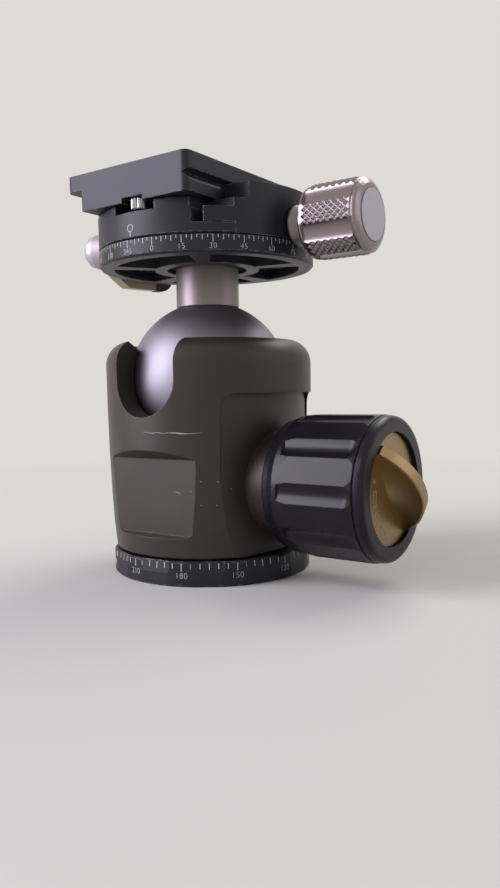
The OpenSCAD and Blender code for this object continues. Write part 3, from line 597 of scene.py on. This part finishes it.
def knurled_barrel(start):
    """The clamp knob's diamond knurl, an open tube from that height up."""
    around, rows, step, radius, point = 36, 7, 2.02, 9.72, 0.42
    made = bmesh.new()
    ring = bmesh.ops.create_circle(made, segments=around, radius=radius * MM)["verts"]
    edges = edges_at(ring)
    for _ in range(rows):
        grown = bmesh.ops.extrude_edge_only(made, edges=edges)["geom"]
        bmesh.ops.translate(made, vec=(0, 0, step * MM), verts=verts_in(grown))
        edges = edges_in(grown)
    # quads to diamonds: a centre in each, then the old edges between two triangles go
    old = [edge for edge in made.edges if len(edge.link_faces) == 2]
    bmesh.ops.poke(made, faces=made.faces[:], center_mode="MEAN")
    left = [edge for edge in old if edge.is_valid]
    bmesh.ops.dissolve_edges(made, edges=left, use_verts=False)
    for vert in made.verts:
        set_radius(vert, radius)
    # each diamond comes to a low point
    diamonds = [face for face in made.faces if len(face.verts) == 4]
    bmesh.ops.recalc_face_normals(made, faces=made.faces)
    bmesh.ops.poke(made, faces=diamonds, offset=point * MM, center_mode="MEAN")
    bmesh.ops.translate(made, vec=(0, 0, start * MM), verts=made.verts)
    return made


def clamp_knob_flutes():
    """Cutters for the knob's six shallow flutes, which leave a smooth band at either end."""
    count, first, radius, reach, middle, length = 6, -4, 6.5, 15.5, 8.4, 14.5
    made = bmesh.new()
    for number in range(count):
        turn = math.radians(360 / count * number + first)
        place = (reach * MM * math.cos(turn), reach * MM * math.sin(turn), middle * MM)
        verts = bmesh.ops.create_cone(made, cap_ends=True, segments=TURNED_STEPS,
                                      radius1=radius * MM, radius2=radius * MM,
                                      depth=length * MM)["verts"]
        bmesh.ops.translate(made, vec=place, verts=verts)
    return made


def clamp_knob_piece():
    """The clamp knob: a knurled barrel between smooth bands, rounded ends, polished flutes.
    Heights are from its inner end."""
    inner_end = [(9.72, 1.25), (9.72, 1.1), (9.74, 0.95), (9.7, 0.6), (9.45, 0.25), (9.0, 0.05),
                 (8.3, 0), (4.5, 0)]
    outer_end = [(9.45, 15.7), (9.3, 15.8), (9.3, 15.95), (9.66, 16.07), (9.66, 16.35),
                 (9.4, 16.5), (8.9, 16.95), (8.1, 17.4), (7.3, 17.6), (6.8, 17.6), (6.8, 17.0)]
    middle = 8.8
    made = knurled_barrel(start=1.4)
    rims = [edge for edge in made.edges if len(edge.link_faces) == 1]
    inner_rim = [edge for edge in rims if edge.verts[0].co.z < middle * MM]
    outer_rim = [edge for edge in rims if edge.verts[0].co.z > middle * MM]
    grow_rings(made, inner_rim, inner_end)
    grow_rings(made, outer_rim, outer_end)
    tidy_mesh(made)
    lay_along_x(made, KNOB_X, KNOB_AXIS_Z)
    knob = piece("knurled_clamp_knob", made, "clamp_knob", knurl_metal)
    flutes = clamp_knob_flutes()
    lay_along_x(flutes, KNOB_X, KNOB_AXIS_Z)
    carve(knob, flutes)
    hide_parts("clamp_knob")


def stop_screw_heads():
    """Stop screws under the plate's two ends: a ribbed head with a socket below, and a shank.
    Heights are from the foot of the ribs."""
    rib_r, groove_r, head_l, foot = 2.08, 1.9, 2.5, -1.6
    socket = [(1.8, -0.28), (1.3, -0.3), (1.3, 0.9)]
    shank = [(1.8, 2.8), (1.5, 2.8), (1.5, 7.4)]
    made = bmesh.new()
    for side in (-1, 1):
        before = set(made.verts)
        ring = bmesh.ops.create_circle(made, segments=48, radius=rib_r * MM)["verts"]
        low_rim = edges_at(ring)
        in_order = sorted(ring, key=lambda vert: math.atan2(vert.co.y, vert.co.x))
        for vert in in_order[1::2]:
            set_radius(vert, groove_r)
        wall = bmesh.ops.extrude_edge_only(made, edges=low_rim)["geom"]
        bmesh.ops.translate(made, vec=(0, 0, head_l * MM), verts=verts_in(wall))
        grow_rings(made, low_rim, socket)
        grow_rings(made, edges_in(wall), shank)
        place = (0, side * STOP_Y * MM, (PLATE_Z + foot) * MM)
        screw = [vert for vert in made.verts if vert not in before]
        bmesh.ops.translate(made, vec=place, verts=screw)
    tidy_mesh(made)
    heads = piece("ribbed_stop_screws", made, "plate", steel)
    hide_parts("stop_screws")


def add_thread(made, low, top):
    """A 1/4 inch thread, 20 per inch, wound round the Z axis and cut level at low and top."""
    pitch, root_r, crest_r, turns, steps = 1.27, 2.55, 3.14, 6, 48
    profile = [(root_r, 0), (root_r, 0.16), (crest_r, 0.58), (crest_r, 0.85), (root_r, pitch)]
    others = set(made.verts)
    line = [made.verts.new((radius * MM, 0, (low - pitch + height) * MM))
            for radius, height in profile]
    edges = [made.edges.new(pair) for pair in zip(line, line[1:])]
    bmesh.ops.spin(made, geom=line + edges, cent=(0, 0, 0), axis=(0, 0, 1),
                   dvec=(0, 0, pitch * MM / steps), angle=math.tau * turns, steps=steps * turns)
    thread = [vert for vert in made.verts if vert not in others]
    bmesh.ops.remove_doubles(made, verts=thread, dist=2e-6)
    for level, above in ((low, False), (top, True)):
        thread = [vert for vert in made.verts if vert not in others]
        faces = {face for vert in thread for face in vert.link_faces}
        edges = {edge for face in faces for edge in face.edges}
        cut = bmesh.ops.bisect_plane(made, geom=thread + list(edges) + list(faces), dist=1e-7,
                                     plane_co=(0, 0, level * MM), plane_no=(0, 0, 1),
                                     clear_outer=above, clear_inner=not above)
        bmesh.ops.holes_fill(made, edges=edges_in(cut["geom_cut"]), sides=0)


def camera_screw_piece():
    """The camera screw: a knurled slotted head, a plain neck and a threaded stud. Heights are
    from the plate's underside."""
    head_r, groove_r, stud_low, stud_top = 8, 7.75, 10.35, 15.55
    slot_size, slot_middle = (18, 1.6, 2.7), 0.35
    made = turned([(0, 0.5), (7.4, 0.5), (head_r, 1.0), (head_r, 3.6), (7.5, 4.1), (2.5, 4.1),
                   (2.5, stud_low), (0, stud_low)])
    for vert in made.verts:
        number = round(math.atan2(vert.co.y, vert.co.x) / (math.tau / TURNED_STEPS))
        if vert.co.xy.length > (head_r - 0.1) * MM and number % 2:
            set_radius(vert, groove_r)
    add_thread(made, stud_low, stud_top)
    bmesh.ops.recalc_face_normals(made, faces=made.faces)
    bmesh.ops.translate(made, vec=(0, 0, PLATE_Z * MM), verts=made.verts)
    screw = piece("threaded_camera_screw", made, "camera_screw", steel)
    slot = bmesh.new()
    verts = bmesh.ops.create_cube(slot, size=1.0)["verts"]
    bmesh.ops.scale(slot, vec=[side * MM for side in slot_size], verts=verts)
    bmesh.ops.translate(slot, vec=(0, 0, (PLATE_Z + slot_middle) * MM), verts=verts)
    carve(screw, slot)
    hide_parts("camera_screw")


clamp_knob_piece()
stop_screw_heads()
camera_screw_piece()


# ---------- stage, light and camera ----------
PAPER = "#dedbd6"       # what the camera and glossy metal see of the paper


def background_paper():
    """Uncoated pale paper, matt. It is lit near the object, where it keeps the shadow, and goes
    even further out, between these distances from the origin in metres."""
    lit, even_from = 0.09, 0.42
    mat, tree = new_material("pale_background_paper")
    where = add(tree, "ShaderNodeTexCoord")
    ray = add(tree, "ShaderNodeLightPath")
    reach = add(tree, "ShaderNodeVectorMath", {0: (where, "Object")}, operation="LENGTH")
    far = add(tree, "ShaderNodeMapRange",
              {"Value": (reach, "Value"), "From Min": lit, "From Max": even_from},
              interpolation_type="SMOOTHSTEP")
    seen = add(tree, "ShaderNodeMath", {0: (ray, "Is Camera Ray"), 1: (ray, "Is Glossy Ray")},
               operation="MAXIMUM")
    even = add(tree, "ShaderNodeMath", {0: (far, "Result"), 1: (seen, "Value")},
               operation="MULTIPLY")
    paper = add(tree, "ShaderNodeBsdfPrincipled", {"Base Color": srgb("#dcd9d2"), "Roughness": 0.85})
    glow = add(tree, "ShaderNodeEmission", {"Color": srgb(PAPER), "Strength": 1.0})
    shader = add(tree, "ShaderNodeMixShader", {"Fac": (even, "Value")})
    tree.links.new(paper.outputs[0], shader.inputs[1])
    tree.links.new(glow.outputs[0], shader.inputs[2])
    finish_material(tree, shader)
    return mat


def cove():
    """A pale paper sheet that lies flat and turns up behind, with no line where it turns, square
    to the camera's view. Sizes in metres."""
    half_width, front, turn_y, turn_r, wall, view_degrees = 6, -4.0, 1.0, 1.2, 3.0, 35
    made = bmesh.new()
    front_edge = made.edges.new([made.verts.new((x, front, 0)) for x in (-half_width, half_width)])
    grown = bmesh.ops.extrude_edge_only(made, edges=[front_edge])["geom"]
    bmesh.ops.translate(made, vec=(0, turn_y - front, 0), verts=verts_in(grown))
    bmesh.ops.spin(made, geom=verts_in(grown) + edges_in(grown), cent=(0, turn_y, turn_r),
                   axis=(1, 0, 0), angle=math.radians(90), steps=32)
    top = max(vert.co.z for vert in made.verts)
    rim = [edge for edge in made.edges if all(abs(vert.co.z - top) < 1e-5 for vert in edge.verts)]
    grown = bmesh.ops.extrude_edge_only(made, edges=rim)["geom"]
    bmesh.ops.translate(made, vec=(0, 0, wall), verts=verts_in(grown))
    tidy_mesh(made)
    square = Matrix.Rotation(math.radians(view_degrees), 3, "Z")
    bmesh.ops.rotate(made, cent=(0, 0, 0), matrix=square, verts=made.verts)
    mesh = new_mesh("paper_cove", made)
    mesh.shade_smooth()
    mesh.materials.append(background_paper())
    new_object("paper_cove", mesh)


def studio_world():
    """Soft even room light; the room itself looks like the paper."""
    world = bpy.data.worlds.new("studio")
    bpy.context.scene.world = world
    world.use_nodes = True
    tree = world.node_tree
    tree.nodes.clear()
    ray = add(tree, "ShaderNodeLightPath")
    seen = add(tree, "ShaderNodeMath", {0: (ray, "Is Camera Ray"), 1: (ray, "Is Glossy Ray")},
               operation="MAXIMUM")
    room = add(tree, "ShaderNodeBackground", {"Color": srgb("#e6e7ea"), "Strength": 0.36})
    paper = add(tree, "ShaderNodeBackground", {"Color": srgb(PAPER), "Strength": 1.0})
    both = add(tree, "ShaderNodeMixShader", {"Fac": (seen, "Value")})
    tree.links.new(room.outputs[0], both.inputs[1])
    tree.links.new(paper.outputs[0], both.inputs[2])
    out = add(tree, "ShaderNodeOutputWorld")
    tree.links.new(both.outputs[0], out.inputs["Surface"])


def softbox(name, place, target, size, watts, tint="#ffffff"):
    """A rectangular lamp that faces its target, in metres."""
    data = bpy.data.lights.new(name, "AREA")
    data.shape = "RECTANGLE"
    data.size, data.size_y = size
    data.energy = watts
    data.color = srgb(tint)[:3]
    lamp = new_object(name, data)
    lamp.location = place
    lamp.rotation_euler = (Vector(target) - Vector(place)).to_track_quat("-Z", "Y").to_euler()


def place_camera():
    """The camera stands a little above the housing's middle and looks almost level at the side
    between notch and lock knob, turned a little about its own axis."""
    lens, place = 30.711, (143.0, -183.14, 53.3)
    look = Vector((-0.5723, 0.81698, -0.07081)).normalized()
    up = Vector((-0.02683, 0.06765, 0.99735))
    data = bpy.data.cameras.new("camera")
    data.sensor_width = 36.0
    data.lens = lens
    data.clip_start = 0.01
    cam = new_object("camera", data)
    up = (up - look * up.dot(look)).normalized()
    right = look.cross(up)
    turn = Matrix((right, up, -look)).transposed().to_4x4()
    cam.matrix_world = Matrix.Translation(Vector(place) * MM) @ turn
    bpy.context.scene.camera = cam


cove()
studio_world()
softbox("window_front_left", place=(-0.50, -0.62, 0.38), target=(0, 0, 0.06), size=(0.5, 0.7),
        watts=9.2, tint="#f1eeff")
softbox("fill_right", place=(0.68, 0.22, 0.32), target=(0, 0, 0.06), size=(0.5, 0.5),
        watts=0.65, tint="#e9e4ff")
softbox("top_back", place=(0.1, 0.5, 0.7), target=(0, 0, 0.08), size=(0.6, 0.4), watts=2.8)
place_camera()
bpy.context.scene.view_settings.view_transform = "Standard"
